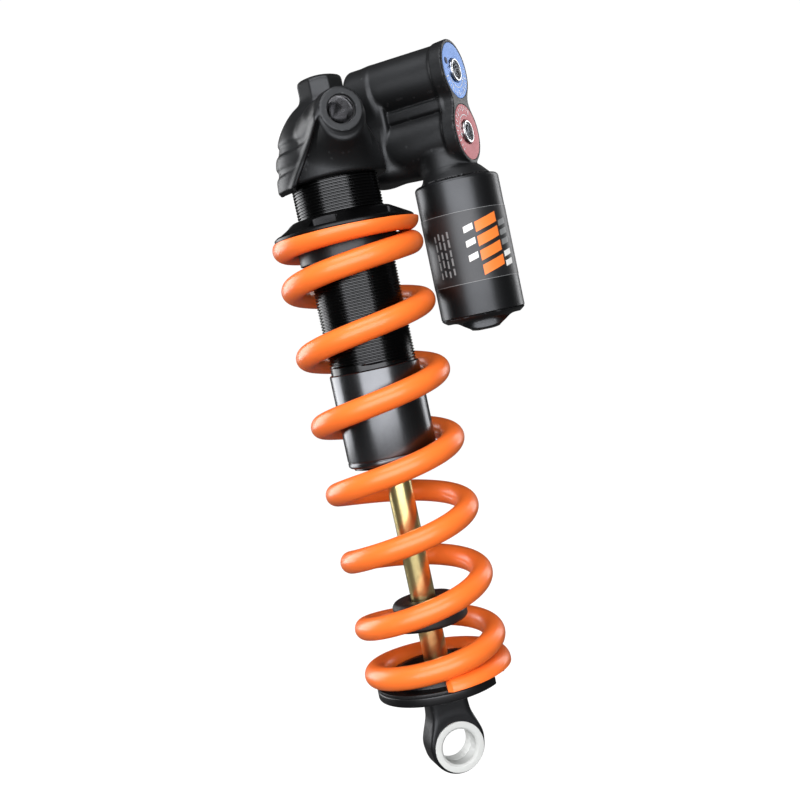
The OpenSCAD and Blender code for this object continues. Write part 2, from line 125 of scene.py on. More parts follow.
CAN_X = (CAN_LOW[0] + CAN_HIGH[0]) / 2
CAN_R = node_radius("reservoir_can")
UPPER = np.array(joint("high_speed_compression_turn")["pos_m"]) / MM
LOWER = np.array(joint("high_speed_rebound_turn")["pos_m"]) / MM
TOWER_DIR = -np.array(joint("high_speed_compression_turn")["axis"], float)
TOWER_DIR /= np.linalg.norm(TOWER_DIR)
TOWER_SIDE = np.array([-TOWER_DIR[1], TOWER_DIR[0], 0.0])
TOWER_REACH = float((UPPER - np.array([CAN_X, 0, UPPER[2]])) @ TOWER_DIR)
CAP_R = 10.1
WAVE_UNIT = 314.16


# ---------------------------------------------------------------- mesh tools


def new_object(name, points, faces, material, smooth_angle=35.0):
    """Mesh object from points in millimetres."""
    mesh = bpy.data.meshes.new(name)
    mesh.from_pydata((np.asarray(points, float) * MM).tolist(), [], [list(map(int, f)) for f in faces])
    mesh.update()
    piece = bpy.data.objects.new(name, mesh)
    bpy.context.scene.collection.objects.link(piece)
    shade(piece, smooth_angle)
    if material is not None:
        mesh.materials.append(material)
    return piece


def shade(piece, angle=35.0):
    """Smooth shading, with edges sharper than the angle kept crisp."""
    mesh = piece.data
    mesh.polygons.foreach_set("use_smooth", [True] * len(mesh.polygons))
    mesh.set_sharp_from_angle(angle=math.radians(angle))


def apply_modifiers(piece):
    """Bakes a piece's modifiers into its mesh."""
    graph = bpy.context.evaluated_depsgraph_get()
    mesh = bpy.data.meshes.new_from_object(piece.evaluated_get(graph))
    piece.modifiers.clear()
    piece.data = mesh


def round_corners(profile, radius=0.25, steps=3):
    """Closed outline of (r, z) corners with each corner cut by a short arc."""
    out = []
    count = len(profile)
    for i in range(count):
        p = np.array(profile[i], float)
        before = np.array(profile[i - 1], float) - p
        after = np.array(profile[(i + 1) % count], float) - p
        la, lb = np.linalg.norm(before), np.linalg.norm(after)
        if la < 1e-9 or lb < 1e-9:
            continue
        cut = min(radius, 0.4 * la, 0.4 * lb)
        a, b = p + before / la * cut, p + after / lb * cut
        for k in range(steps + 1):
            t = k / steps
            out.append((1 - t) ** 2 * a + 2 * t * (1 - t) * p + t ** 2 * b)
    return [tuple(q) for q in out]


def lathe(name, profile, material, centre=(0, 0, 0), axis=(0, 0, 1), sides=128, radius=0.25, angle=35.0):
    """Closed turned piece: the outline of (r, h) corners swept round an axis through centre."""
    outline = round_corners(profile, radius) if radius else list(profile)
    n = len(outline)
    points, faces = [], []
    for s in range(sides):
        a = TAU * s / sides
        for r, h in outline:
            points.append((r * math.cos(a), r * math.sin(a), h))
    for s in range(sides):
        t = (s + 1) % sides
        for k in range(n):
            m = (k + 1) % n
            faces.append((s * n + k, t * n + k, t * n + m, s * n + m))
    piece = new_object(name, points, faces, material, angle)
    clean(piece)
    place(piece, centre, axis)
    shade(piece, angle)
    return piece


def clean(piece):
    """Merges doubled points, drops empty faces and turns every face outwards."""
    work = bmesh.new()
    work.from_mesh(piece.data)
    bmesh.ops.remove_doubles(work, verts=work.verts, dist=1e-7)
    bmesh.ops.dissolve_degenerate(work, edges=work.edges, dist=1e-8)
    bmesh.ops.recalc_face_normals(work, faces=work.faces)
    work.to_mesh(piece.data)
    work.free()


def place(piece, centre, axis):
    """Moves a piece's mesh so that its local Z runs along axis and its origin is at centre."""
    turn = Vector(axis).to_track_quat("Z", "Y").to_matrix().to_4x4()
    piece.data.transform(Matrix.Translation(Vector(centre) * MM) @ turn)


def tower_matrix(centre):
    """Frame of a dial: local Z out of the dial, local Y up."""
    z = Vector(TOWER_DIR)
    y = Vector((0, 0, 1))
    x = y.cross(z)
    turn = Matrix((x, y, z)).transposed().to_4x4()
    return Matrix.Translation(Vector(centre) * MM) @ turn


def prism(name, outline, low, high, material=None, radius=0.0, matrix=None):
    """Upright prism over a closed outline of (x, y) corners."""
    outline = round_corners(outline, radius, 5) if radius else list(outline)
    n = len(outline)
    points = [(x, y, low) for x, y in outline] + [(x, y, high) for x, y in outline]
    faces = [tuple(range(n - 1, -1, -1)), tuple(range(n, 2 * n))]
    faces += [(k, (k + 1) % n, n + (k + 1) % n, n + k) for k in range(n)]
    piece = new_object(name, points, faces, material)
    clean(piece)
    if matrix is not None:
        piece.data.transform(matrix)
    return piece


def polar(r, a, centre=(0.0, 0.0)):
    """Corner at a radius and angle from a centre."""
    return (centre[0] + r * math.cos(a), centre[1] + r * math.sin(a))


def circle_points(r, count=96, centre=(0.0, 0.0)):
    """Corners of a circle, or of a regular polygon when there are few."""
    return [polar(r, TAU * k / count, centre) for k in range(count)]


def cut(piece, cutters, angle=35.0):
    """Takes the cutters out of a piece, one after another."""
    for cutter in cutters:
        modifier = piece.modifiers.new("cut", "BOOLEAN")
        modifier.operation = "DIFFERENCE"
        modifier.solver = "EXACT"
        modifier.object = cutter
        apply_modifiers(piece)
        bpy.data.objects.remove(cutter)
    shade(piece, angle)


def bevel(piece, width, angle=30.0, segments=2):
    """Rounds a piece's sharp edges."""
    modifier = piece.modifiers.new("bevel", "BEVEL")
    modifier.width = width * MM
    modifier.segments = segments
    modifier.limit_method = "ANGLE"
    modifier.angle_limit = math.radians(angle)
    modifier.harden_normals = False
    apply_modifiers(piece)
    shade(piece, 40)


def join(pieces):
    """Joins pieces into the first one."""
    work = bmesh.new()
    for piece in pieces:
        work.from_mesh(piece.data)
    work.to_mesh(pieces[0].data)
    work.free()
    for piece in pieces[1:]:
        bpy.data.objects.remove(piece)
    return pieces[0]


# ---------------------------------------------------------------- rounded solids as distance fields


def smooth_min(a, b, k):
    """Union of two distances with a fillet of about k."""
    h = np.clip(0.5 + 0.5 * (b - a) / k, 0, 1)
    return b + (a - b) * h - k * h * (1 - h)


def smooth_max(a, b, k):
    """Intersection of two distances with a rounding of about k."""
    return -smooth_min(-a, -b, k)


def rod(p, start, end, r, rounding=0.5, r_end=None):
    """Distance to a straight round bar from start to end, which may taper to r_end."""
    start, end = np.array(start, float), np.array(end, float)
    length = np.linalg.norm(end - start)
    d = (end - start) / length
    h = (p[0] - start[0]) * d[0] + (p[1] - start[1]) * d[1] + (p[2] - start[2]) * d[2]
    q2 = (p[0] - start[0]) ** 2 + (p[1] - start[1]) ** 2 + (p[2] - start[2]) ** 2 - h * h
    radial = np.sqrt(np.maximum(q2, 0))
    slope = 0.0 if r_end is None else (r_end - r) / length
    side = (radial - (r + slope * h)) / math.sqrt(1 + slope * slope)
    return rounded_corner(side, np.abs(h - length / 2) - length / 2, rounding)


def rounded_corner(a, b, rounding):
    """Distance to the corner region a < 0 and b < 0, with the corner rounded."""
    a, b = a + rounding, b + rounding
    outside = np.sqrt(np.maximum(a, 0) ** 2 + np.maximum(b, 0) ** 2)
    return outside + np.minimum(np.maximum(a, b), 0) - rounding


def ball(p, centre, r):
    """Distance to a sphere."""
    return np.sqrt((p[0] - centre[0]) ** 2 + (p[1] - centre[1]) ** 2 + (p[2] - centre[2]) ** 2) - r


def block(p, centre, half, rounding=1.0, angle=0.0):
    """Distance to a box with rounded edges, turned by angle about Z."""
    c, s = math.cos(angle), math.sin(angle)
    x = (p[0] - centre[0]) * c + (p[1] - centre[1]) * s
    y = -(p[0] - centre[0]) * s + (p[1] - centre[1]) * c
    q = [np.abs(x) - half[0] + rounding, np.abs(y) - half[1] + rounding,
         np.abs(p[2] - centre[2]) - half[2] + rounding]
    outside = np.sqrt(sum(np.maximum(v, 0) ** 2 for v in q))
    return outside + np.minimum(np.maximum(np.maximum(q[0], q[1]), q[2]), 0) - rounding


def solid_from(name, shape, low, high, cell, material, angle=35.0):
    """Meshes a distance shape over the box from low to high and settles its points on the surface."""
    low = np.array(low, float)
    axes = [np.arange(low[i], high[i] + cell, cell, dtype=np.float32) for i in range(3)]
    grid_points = np.meshgrid(*axes, indexing="ij", sparse=True)
    values = shape(grid_points).astype(np.float32)
    grid = openvdb.FloatGrid(4.0)
    grid.copyFromArray(np.clip(values, -4, 4))
    points, quads = grid.convertToQuads()
    points = points.astype(float) * cell + low
    step = 0.05

    def nudged(p, i, shift):
        return shape([q + (shift if j == i else 0) for j, q in enumerate(p)])

    for _ in range(2):
        p = [points[:, i] for i in range(3)]
        d = shape(p)
        gradient = np.stack([nudged(p, i, step) - nudged(p, i, -step) for i in range(3)], 1) / (2 * step)
        size = np.maximum(np.linalg.norm(gradient, axis=1), 0.3)
        points -= np.clip(d / size, -0.3, 0.3)[:, None] * gradient / size[:, None]
    return new_object(name, points, quads, material, angle)


# ---------------------------------------------------------------- materials


def shader(name):
    """Empty node material with its output and surface shader."""
    material = bpy.data.materials.new(name)
    material.use_nodes = True
    nodes = material.node_tree.nodes
    return material, nodes, material.node_tree.links, nodes["Principled BSDF"]


def put(node, values):
    """Sets several of a node's inputs."""
    for name, value in values.items():
        node.inputs[name].default_value = value


def noise(nodes, links, source, scale, detail=3.0, roughness=0.55):
    """Noise texture that reads object coordinates in metres."""
    node = nodes.new("ShaderNodeTexNoise")
    put(node, {"Scale": scale, "Detail": detail, "Roughness": roughness})
    links.new(source, node.inputs["Vector"])
    return node.outputs["Fac"]


def remap(nodes, links, value, low, high, from_low=0.3, from_high=0.7):
    """Maps a value to the range from low to high."""
    node = nodes.new("ShaderNodeMapRange")
    put(node, {"From Min": from_low, "From Max": from_high, "To Min": low, "To Max": high})
    links.new(value, node.inputs["Value"])
    return node.outputs["Result"]


def mix_colour(nodes, links, factor, a, b):
    """Mixes two colours, each a value or a socket."""
    node = nodes.new("ShaderNodeMix")
    node.data_type = "RGBA"
    links.new(factor, node.inputs[0])
    for socket, colour in ((node.inputs[6], a), (node.inputs[7], b)):
        if isinstance(colour, (tuple, list)):
            socket.default_value = (*colour[:3], 1)
        else:
            links.new(colour, socket)
    return node.outputs[2]


def turned_rings(nodes, links, source, period_mm):
    """Value that ripples along Z, as a cutting tool leaves on a turned part."""
    node = nodes.new("ShaderNodeTexWave")
    node.wave_type = "BANDS"
    node.bands_direction = "Z"
    put(node, {"Scale": WAVE_UNIT / period_mm, "Distortion": 0.6, "Detail": 2, "Detail Scale": 1.5})
    links.new(source, node.inputs["Vector"])
    return node.outputs["Fac"]


def finish(name, colour, metallic, rough, vary=0.06, tint=0.25, grain_mm=0.35, bump=0.02, rings_mm=None,
           wear=None, coat=0.0, specular=0.5):
    """Procedural finish: tone that drifts over the part, grain in its roughness and bump, worn edges."""
    material, nodes, links, surface = shader(name)
    place_node = nodes.new("ShaderNodeTexCoord")
    where = place_node.outputs["Object"]
    drift = noise(nodes, links, where, 60, 4)
    darker = tuple(c * (1 - tint) for c in colour)
    lighter = tuple(min(1.0, c * (1 + tint)) for c in colour)
    base = mix_colour(nodes, links, remap(nodes, links, drift, 0, 1), darker, lighter)
    if wear is not None:
        geometry = nodes.new("ShaderNodeNewGeometry")
        edge = remap(nodes, links, geometry.outputs["Pointiness"], 0, 1, 0.52, 0.6)
        speck = noise(nodes, links, where, 1500, 4)
        product = nodes.new("ShaderNodeMath")
        product.operation = "MULTIPLY"
        links.new(edge, product.inputs[0])
        links.new(remap(nodes, links, speck, 0.1, 0.8), product.inputs[1])
        base = mix_colour(nodes, links, product.outputs[0], base, wear)
    links.new(base, surface.inputs["Base Color"])
    grain = noise(nodes, links, where, 1000 / grain_mm, 2)
    height = grain
    if rings_mm:
        ripple = turned_rings(nodes, links, where, rings_mm)
        blend_node = nodes.new("ShaderNodeMix")
        blend_node.inputs[0].default_value = 0.75
        links.new(grain, blend_node.inputs[2])
        links.new(ripple, blend_node.inputs[3])
        height = blend_node.outputs[0]
    links.new(remap(nodes, links, height, rough - vary, rough + vary), surface.inputs["Roughness"])
    bump_node = nodes.new("ShaderNodeBump")
    put(bump_node, {"Strength": 0.6, "Distance": bump * MM})
    links.new(height, bump_node.inputs["Height"])
    links.new(bump_node.outputs["Normal"], surface.inputs["Normal"])
    put(surface, {"Metallic": metallic, "Coat Weight": coat, "Coat Roughness": 0.15,
                  "Specular IOR Level": specular})
    return material


WORN_CASTING = (0.08, 0.082, 0.086)
WORN_BLACK = (0.08, 0.08, 0.085)
MATERIALS = {
    "black_anodised": finish(
        "satin_black_casting", (0.033, 0.0342, 0.0365), 0.92, 0.45, 0.05, 0.12, 0.30, 0.03, wear=WORN_CASTING),
    "black_threaded_body": finish(
        "black_turned_thread", (0.034, 0.0345, 0.036), 1.0, 0.22, 0.06, 0.2, 0.25, 0.004),
    "black_sleeve": finish(
        "black_polished_sleeve", (0.105, 0.108, 0.116), 1.0, 0.24, 0.04, 0.12, 0.5, 0.002, rings_mm=0.35),
    "black_collar": finish(
        "black_machined_collar", (0.022, 0.022, 0.0235), 1.0, 0.34, 0.08, 0.2, 0.3, 0.01, rings_mm=0.3),
    "pilot_grey": finish(
        "grey_pilot_ring", (0.03, 0.03, 0.032), 0.9, 0.36, 0.08, 0.15, 0.4, 0.01, rings_mm=0.3),
    "orange_spring": finish(
        "orange_powder_coat", (0.88, 0.165, 0.022), 0.0, 0.40, 0.05, 0.05, 0.7, 0.02, coat=0.2, specular=0.4),
    "gold_shaft": finish(
        "gold_polished_shaft", (0.82, 0.68, 0.32), 1.0, 0.22, 0.06, 0.10, 0.25, 0.003, rings_mm=0.18),
    "bumper_black": finish(
        "black_elastomer", (0.008, 0.008, 0.009), 0.0, 0.55, 0.1, 0.2, 0.5, 0.04, specular=0.3),
    "cup_black": finish("black_moulded_cup", (0.012, 0.012, 0.013), 0.0, 0.4, 0.08, 0.2, 0.4, 0.02),
    "perch_black": finish(
        "black_perch_plate", (0.03, 0.03, 0.032), 0.9, 0.38, 0.08, 0.2, 0.3, 0.02, wear=WORN_BLACK),
    "eyelet_black": finish(
        "black_forged_eyelet", (0.038, 0.039, 0.042), 0.92, 0.4, 0.07, 0.15, 0.3, 0.03, wear=WORN_BLACK),
    "bushing_white": finish("white_bearing_polymer", (0.60, 0.61, 0.60), 0.0, 0.50, 0.06, 0.03, 0.5, 0.015),
    "reservoir_black": finish(
        "satin_black_can", (0.045, 0.0465, 0.050), 0.95, 0.35, 0.05, 0.12, 0.3, 0.008, rings_mm=0.5),
    "decal_film": finish("matte_black_film", (0.045, 0.046, 0.049), 0.8, 0.40, 0.04, 0.08, 0.5, 0.004),
    "cap_blue": finish(
        "blue_anodised_cap", (0.03, 0.10, 0.28), 0.95, 0.34, 0.06, 0.12, 0.3, 0.008, specular=0.3),
    "cap_red": finish(
        "red_anodised_cap", (0.16, 0.012, 0.020), 0.95, 0.34, 0.06, 0.12, 0.3, 0.008, specular=0.3),
    "adjuster_silver": finish(
        "bright_machined_adjuster", (0.66, 0.67, 0.69), 1.0, 0.25, 0.08, 0.06, 0.25, 0.006),
    "adjuster_dark": finish("dark_steel_screw", (0.12, 0.12, 0.13), 1.0, 0.35, 0.08, 0.1, 0.25, 0.01),
    "steel_parts": finish(
        "ground_steel", (0.55, 0.56, 0.58), 1.0, 0.28, 0.08, 0.08, 0.2, 0.006, rings_mm=0.2),
    "bare_aluminium": finish(
        "bare_aluminium", (0.62, 0.63, 0.65), 1.0, 0.32, 0.08, 0.08, 0.25, 0.006, rings_mm=0.3),
    "brass_seats": finish(
        "turned_brass", (0.66, 0.48, 0.20), 1.0, 0.3, 0.08, 0.08, 0.25, 0.006, rings_mm=0.3),
    "seal_black": finish("nitrile_black", (0.012, 0.012, 0.012), 0.0, 0.5, 0.08, 0.2, 0.5, 0.02),
    "bearing_band": finish("bearing_polymer", (0.07, 0.16, 0.13), 0.0, 0.5, 0.08, 0.15, 0.4, 0.02),
}
MARK_ORANGE = finish("printed_orange", (0.80, 0.19, 0.03), 0.0, 0.42, 0.04, 0.05, 0.6, 0.003)
MARK_WHITE = finish("printed_white", (0.72, 0.72, 0.71), 0.0, 0.42, 0.04, 0.03, 0.6, 0.003)
MARK_GREY = finish("printed_grey", (0.17, 0.175, 0.18), 0.0, 0.42, 0.04, 0.05, 0.6, 0.003)
MARK_PALE = finish("printed_pale_dial", (0.55, 0.58, 0.62), 0.0, 0.42, 0.04, 0.05, 0.6, 0.003)
DOT_BLUE = finish("indicator_blue", (0.006, 0.012, 0.05), 0.0, 0.45, 0.03, 0.1, 0.5, 0.002, specular=0.2)
DOT_RED = finish("indicator_red", (0.05, 0.003, 0.006), 0.0, 0.45, 0.03, 0.1, 0.5, 0.002, specular=0.2)
BARE_THREAD = finish("bare_cut_thread", (0.30, 0.30, 0.31), 1.0, 0.15, 0.06, 0.08, 0.2, 0.004)

for row in RECORD["subparts"]:
    cad_mesh = frame["nodes"][row["node"]].data
    cad_mesh.materials.clear()
    cad_mesh.materials.append(MATERIALS[row["material_slot"]])


def fit(piece, body, slot, *nodes):
    """Rides a piece on its body and hides the CAD nodes that it stands for; the slot is not used."""
    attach(piece, body)
    if nodes:
        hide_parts(*nodes)
    return piece


# ---------------------------------------------------------------- head casting


def tower_point(along, side, height):
    """Point in a valve tower: along it from the reservoir axis, to its side, and at a height."""
    p = np.array([CAN_X, 0, 0]) + TOWER_DIR * along + TOWER_SIDE * side
    return np.array([p[0], p[1], height])


def tower_axes(p):
    """Distance of a point along the towers' line from the reservoir axis, and to its side."""
    along = (p[0] - CAN_X) * TOWER_DIR[0] + p[1] * TOWER_DIR[1]
    side = (p[0] - CAN_X) * TOWER_SIDE[0] + p[1] * TOWER_SIDE[1]
    return along, side


def ellipsoid(p, centre, radii):
    """Distance, near enough, to an ellipsoid."""
    near = np.sqrt(sum(((p[i] - centre[i]) / radii[i]) ** 2 for i in range(3)))
    steep = np.sqrt(sum(((p[i] - centre[i]) / radii[i] ** 2) ** 2 for i in range(3)))
    return near * (near - 1) / np.maximum(steep, 1e-4)


def mirrored(p):
    """The same point on the rear side, so that one form makes both sides."""
    return [p[0], np.abs(p[1]), p[2]]


def barrel(p, swell):
    """Dome over the damper body, fanned out to the trunnion bosses and swollen by an amount."""
    q = mirrored(p)
    dome = ellipsoid(p, (0, 0, HEAD_BOTTOM + 0.4 - swell), (18.9, 17.6, 28.5 + swell / 2))
    fan = rod(q, (0, 16.8, TRUNNION_Z + 1.2), (0, -1.5, HEAD_BOTTOM - 2.5), 8.4, 1.0, 19.4)
    flare = rod(q, (0, FACE_Y - 1.2, TRUNNION_Z - 0.8), (0, 12.5, TRUNNION_Z - 6), 8.0, 0.8, 11.5)
    fanned = smooth_min(smooth_min(dome, fan, 2.0), flare, 2.5)
    return smooth_max(fanned - swell, q[1] - FACE_Y + FACE_RELIEF, 0.6)


def head_core(p):
    """Smooth barrel of the head."""
    return smooth_max(barrel(p, 0.0), HEAD_BOTTOM - 0.2 - p[2], 1.2)


def ridge(p):
    """Signed distance from the slanted step that ends the side armour: negative on its armoured side."""
    depth = np.abs(p[1])
    return 0.778 * (p[0] + 7.5) - 0.271 * (24.5 - depth) - 0.567 * (p[2] - TRUNNION_Z + 0.7)


def side_armour(p):
    """Raised shell on the side away from the reservoir, pinched into three bulging plates."""
    edge = ridge(p)
    away = np.clip(-edge / 7, 0, 1)
    above = p[2] - TRUNNION_Z
    pinch = 2.0 * np.exp(-((above + 6.2) / 1.4) ** 2) + 1.4 * np.exp(-((above + 13.8) / 1.3) ** 2)
    bulge = 0.15 * np.exp(-((above + 1.5) / 4.0) ** 2)
    raised = barrel(p, 1.0)
    shell = smooth_max(raised - bulge + pinch * away, edge, 0.6)
    shell = smooth_max(shell, p[0] - 1.0, 1.5)
    bead = np.sqrt((edge + 0.7) ** 2 + (raised + 0.35) ** 2) - 0.8
    bead = smooth_max(bead, above + 0.5, 1.0)
    return smooth_max(smooth_min(shell, bead, 1.3), HEAD_BOTTOM - 1.4 - p[2], 1.0)


def lug(p):
    """Eight-sided lug with a rounded top."""
    centre, apothem, top_r = 2.2, 7.9, 21.0
    sides = None
    for k in range(8):
        a = TAU * k / 8 - math.radians(16.6)
        wall = (p[0] - centre) * math.cos(a) + p[1] * math.sin(a) - apothem
        sides = wall if sides is None else smooth_max(sides, wall, 0.35)
    capped = smooth_max(sides, ball(p, (centre, 0, TRUNNION_Z + 17.6 - top_r), top_r), 1.5)
    return smooth_max(capped, TRUNNION_Z - 8 - p[2], 1)


def trunnion_bosses(p):
    """Round boss and pad for each trunnion bolt."""
    q = mirrored(p)
    boss = rod(q, (0, 4, TRUNNION_Z), (0, FACE_Y - 0.6, TRUNNION_Z), 7.8, 0.6)
    pad = rod(q, (0, 12, TRUNNION_Z), (0, FACE_Y, TRUNNION_Z), 7.45, 0.2)
    return boss, pad


def arm(p):
    """Arm that runs behind the damper head to the roots of the towers."""
    root = block(p, (13, 17, TRUNNION_Z - 11.5), (19, 9.5, 10.5), 4.5, math.radians(38))
    bridge = block(p, (31.5, 14.5, TRUNNION_Z - 15), (11.5, 9.0, 7.3), 5, math.radians(-10))
    return smooth_min(root, bridge, 4)


def tower_round(p, height, start, end, r, rounding, r_end=None):
    """Round bar in the line of a tower."""
    return rod(p, tower_point(start, 0, height), tower_point(end, 0, height), r, rounding, r_end)


def valve_towers(p):
    """The two valve towers with their shoulders at the root, the ledge between them and the dial ends."""
    top = tower_round(p, UPPER[2], -32.7, TOWER_REACH + 9, 10.85, 9.5, 10.4)
    low = tower_round(p, LOWER[2], -33, TOWER_REACH + 5, 10.5, 5, 10.3)
    towers = np.minimum(top, low)
    along, side = tower_axes(p)
    level = np.abs(p[2] - TRUNNION_Z)
    web = rounded_corner(np.abs(side) - 4.6, level - 11, 1) + 0 * along
    web = smooth_max(web, np.abs(along + 12.5) - 18.5, 1)
    ledge = smooth_max(smooth_max(np.abs(side) - 7.3, np.abs(p[2] - TRUNNION_Z - 0.2) - 2.3, 1.5),
                       np.abs(along + 9.5) - 13, 1)
    towers = smooth_min(smooth_min(towers, web, 1.2), ledge, 0.9)
    shoulder_up = tower_round(p, UPPER[2] - 1.0, -32.5, -21.0, 11.5, 1.6)
    shoulder_low = tower_round(p, LOWER[2], -32.5, -19.8, 11.1, 1.6)
    shoulder_mid = smooth_max(smooth_max(np.abs(side) - 9.2, level - 8, 1.5), np.abs(along + 25.4) - 7.0, 1.8)
    shoulder = smooth_min(smooth_min(shoulder_up, shoulder_low, 2.0), shoulder_mid, 2.5)
    return smooth_min(towers, shoulder, 0.5)


def dial_end(p):
    """Figure-of-eight block that holds both dials."""
    start = 3.2
    up = tower_round(p, UPPER[2], start, TOWER_REACH, 10.9, 0.55, 11.3)
    low = tower_round(p, LOWER[2], start, TOWER_REACH, 10.9, 0.55, 11.3)
    along, side = tower_axes(p)
    middle = (TOWER_REACH + start) / 2
    waist = rounded_corner(np.abs(side) - 7.0, np.abs(along - middle) - (TOWER_REACH - start) / 2, 0.55)
    waist = np.maximum(waist, np.abs(p[2] - TRUNNION_Z) - 8)
    joined = smooth_min(np.minimum(up, low), waist, 2.2)
    return smooth_max(joined, along - TOWER_REACH, 0.5)


def reservoir_neck(p):
    """Conical neck that the reservoir can screws onto, and the riser from it to the lower tower."""
    neck = rod(p, (CAN_X, 0, CAN_HIGH[2] - 3), (CAN_X, 0, CAN_HIGH[2] + 4.4), CAN_R + 0.5, 1.0, 9.2)
    neck = smooth_max(neck, CAN_HIGH[2] + 0.1 - p[2], 0.1)
    foot = tower_point(-1.8, 0, CAN_HIGH[2] + 1)
    riser = rod(p, foot, foot + np.array([0, 0, 10]), 9.7, 1)
    return smooth_min(neck, riser, 1.5)


def head_shape(p):
    """The whole casting."""
    boss, pad = trunnion_bosses(p)
    body = smooth_min(head_core(p), lug(p), 3.0)
    body = smooth_min(body, side_armour(p), 0.4)
    body = smooth_min(body, boss, 1.6)
    body = smooth_min(body, pad, 0.15)
    body = smooth_min(body, arm(p), 2.5)
    towers = smooth_min(valve_towers(p), dial_end(p), 1.2)
    towers = smooth_max(towers, dial_plane(p), 0.4)
    body = smooth_min(body, towers, 1.2)
    return smooth_min(body, reservoir_neck(p), 1.6)


def dial_plane(p):
    """Distance in front of the plane of the dials."""
    return tower_axes(p)[0] - TOWER_REACH


def into_trunnion(piece, side):
    """Lays an upright turned form into the trunnion hole of one side, measured from its face."""
    piece.data.transform(Matrix.Rotation(side * math.pi / 2, 4, "X"))
    piece.data.transform(Matrix.Translation((0, side * FACE_Y * MM, TRUNNION_Z * MM)))


def head_cutters():
    """Machined openings: the body bore, the two trunnion holes and the two dial recesses."""
    cutters = [prism("cutter", circle_points(BODY_R + 0.12), HEAD_BOTTOM - 8, BODY_TOP + 0.4)]
    for side in (-1, 1):
        profile = [(0, -1), (5.1, -1), (5.1, 0), (4.75, 0.4), (4.75, 10.05), (4.3, 10.6), (0, 12.6)]
        hole = lathe("cutter", profile, None, radius=0)
        into_trunnion(hole, side)
        cutters.append(hole)
    for centre in (UPPER, LOWER):
        cutters.append(prism("cutter", circle_points(CAP_R + 0.12), -1.52, 2, matrix=tower_matrix(centre)))
        cutters.append(prism("cutter", circle_points(8.0), -20, -1, matrix=tower_matrix(centre)))
    return cutters


def build_head():
    """Head casting with its machined openings."""
    low, high = node_box("head_casting")
    piece = solid_from("head_shell", head_shape, low - 2, high + 2, 0.4, MATERIALS["black_anodised"])
    cut(piece, head_cutters(), 38)
    fit(piece, "damper", "black_anodised", "head_casting")


def trunnion_threads():
    """Bare cut threads inside both trunnion holes."""
    for side, name in ((-1, "trunnion_thread_front"), (1, "trunnion_thread_rear")):
        profile = [(4.73, 1.4)]
        turns = 8
        for k in range(turns):
            profile += [(4.7, 1.6 + k), (4.3, 2.1 + k)]
        profile += [(4.7, 1.6 + turns), (4.7, 10.0), (4.25, 10.4), (0.02, 12.4), (0.02, 12.7), (4.6, 10.8),
                    (4.95, 10.2), (4.95, 1.4)]
        piece = lathe(name, profile, BARE_THREAD, radius=0, sides=96, angle=25)
        into_trunnion(piece, side)
        fit(piece, "damper", "bare_aluminium")


# ---------------------------------------------------------------- damper body


def threaded_body():
    """Damper tube with a real thread over its whole outside, which runs out above the sleeve."""
    pitch, depth, sides, inner, run = 1.04, 0.5, 144, 13.0, 0.8
    low, high = SLEEVE_TOP, BODY_TOP
    cycle = ((0.08, depth), (0.34, 0.0), (0.66, 0.0), (0.92, depth))
    turns = int((high - low) / pitch) + 1
    points, faces = [], []
    for s in range(sides + 1):
        a = TAU * s / sides
        runout = 1.35 * (1 + math.cos(a - math.radians(163)))
        outline = [(inner, low), (BODY_R, low)]
        for turn in range(-1, turns):
            for phase, sunk in cycle:
                z = min(max(low + (turn + phase + s / sides) * pitch, low), high)
                fade = max(0.0, min(1.0, (z - low - runout) / run, (high - z) / run))
                outline.append((BODY_R - sunk * fade, z))
        outline += [(BODY_R, high), (inner, high)]
        points += [(r * math.cos(a), r * math.sin(a), z) for r, z in outline]
    n = len(outline)
    for s in range(sides):
        faces += [(s * n + k, (s + 1) * n + k, (s + 1) * n + (k + 1) % n,
                   s * n + (k + 1) % n) for k in range(n)]
    piece = new_object("threaded_body", points, faces, MATERIALS["black_threaded_body"], 28)
    clean(piece)
    shade(piece, 28)
    fit(piece, "damper", "black_threaded_body", "damper_body")


def sleeve():
    """Plain sleeve under the thread, with a fine groove near its lower end."""
    r, low, high = SLEEVE_R, SLEEVE_LOW, SLEEVE_TOP
    bore = r - 1.5
    profile = [(bore, low), (r - 0.5, low), (r, low + 0.6), (r, low + 1.7), (r - 0.25, low + 1.9),
               (r - 0.25, low + 2.2), (r, low + 2.4), (r, high - 0.4), (r - 0.4, high), (bore, high)]
    piece = lathe("body_sleeve_turned", profile, MATERIALS["black_sleeve"], radius=0.12, sides=160)
    fit(piece, "damper", "black_sleeve", "body_sleeve")


# ---------------------------------------------------------------- spring


SPRING_WIRE_R = 4.1
SPRING_R = 22.35
SPRING_TURNS = 8.3
SPRING_START = math.radians(-102)
END_PITCH = 2.4
BLEND_TURNS = 2.31


def blend_area(t):
    """Area under the curve that eases the pitch in."""
    t = np.clip(t, 0, None)
    return np.where(t >= 1, t - 0.5, t ** 3 - t ** 4 / 2)


def eased(turns, pitch, lead):
    """Height gained that many turns in from an end."""
    start = blend_area(np.array(lead / BLEND_TURNS))
    return END_PITCH * turns + (pitch - END_PITCH) * BLEND_TURNS * (
        blend_area((turns + lead) / BLEND_TURNS) - start)


def wire_height(turn):
    """Height of the wire's centre line after that many turns."""
    lead = 0.18
    half = SPRING_TURNS / 2
    low, high = SPRING_LOW - 0.05, SPRING_TOP + 0.05
    unit = BLEND_TURNS * (blend_area(np.array((half + lead) / BLEND_TURNS))
                          - blend_area(np.array(lead / BLEND_TURNS)))
    pitch = END_PITCH + ((high - low) / 2 - END_PITCH * half) / unit
    return np.where(turn <= half, low + eased(np.minimum(turn, half), pitch, lead),
                    high - eased(np.minimum(SPRING_TURNS - turn, half), pitch, lead))


